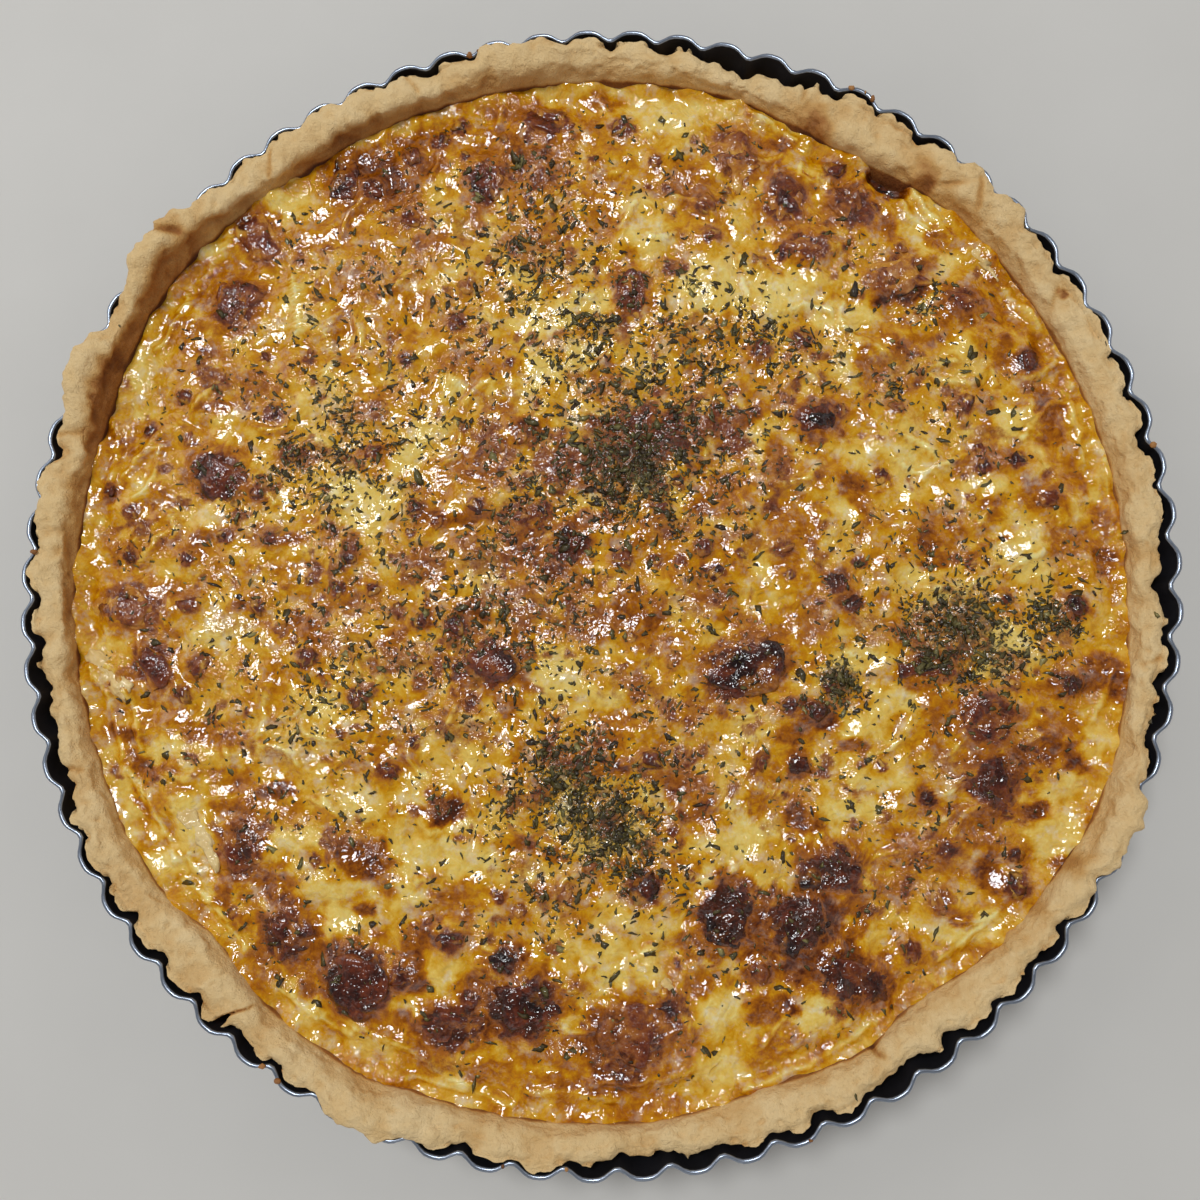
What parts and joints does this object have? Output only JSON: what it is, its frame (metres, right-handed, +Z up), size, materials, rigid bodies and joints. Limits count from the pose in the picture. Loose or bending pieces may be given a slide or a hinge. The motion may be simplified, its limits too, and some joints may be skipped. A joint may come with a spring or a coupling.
{
  "type": "quiche",
  "caption": "Round bacon, onion and herb quiche baked in its own fluted tart tin, whole and uncut, to rest on a table or counter.",
  "frame": {"origin": "middle of the tin's flat underside", "axes": "+Z up out of the quiche, X and Y across it"},
  "size_m": [0.28, 0.28, 0.0378],
  "materials": {
    "tin": "dark non-stick coating, worn bright along the rolled rim",
    "pastry": "matte, pale golden shortcrust, browner where it meets the filling",
    "filling": "glossy wrinkled baked custard, yellow to orange-brown",
    "bacon": "glossy, burgundy to grey-brown",
    "onion": "glossy, pale and slightly see-through",
    "herbs": "dried green flakes, partly browned"
  },
  "bodies": {
    "root": {"tart_tin": "tin", "pastry_case": "pastry", "filling": "filling", "bacon_01": "bacon", "bacon_02": "bacon", "bacon_03": "bacon", "bacon_04": "bacon", "bacon_05": "bacon", "bacon_06": "bacon", "bacon_07": "bacon", "bacon_08": "bacon", "bacon_09": "bacon", "bacon_10": "bacon", "bacon_11": "bacon", "bacon_12": "bacon", "bacon_13": "bacon", "bacon_14": "bacon", "bacon_15": "bacon", "bacon_16": "bacon", "bacon_17": "bacon", "bacon_18": "bacon", "bacon_19": "bacon", "bacon_20": "bacon", "bacon_21": "bacon", "bacon_22": "bacon", "bacon_23": "bacon", "bacon_24": "bacon", "bacon_25": "bacon", "bacon_26": "bacon", "bacon_27": "bacon", "bacon_28": "bacon", "bacon_29": "bacon", "bacon_30": "bacon", "bacon_31": "bacon", "onion_01": "onion", "onion_02": "onion", "onion_03": "onion", "onion_04": "onion"}
  },
  "joints": []
}
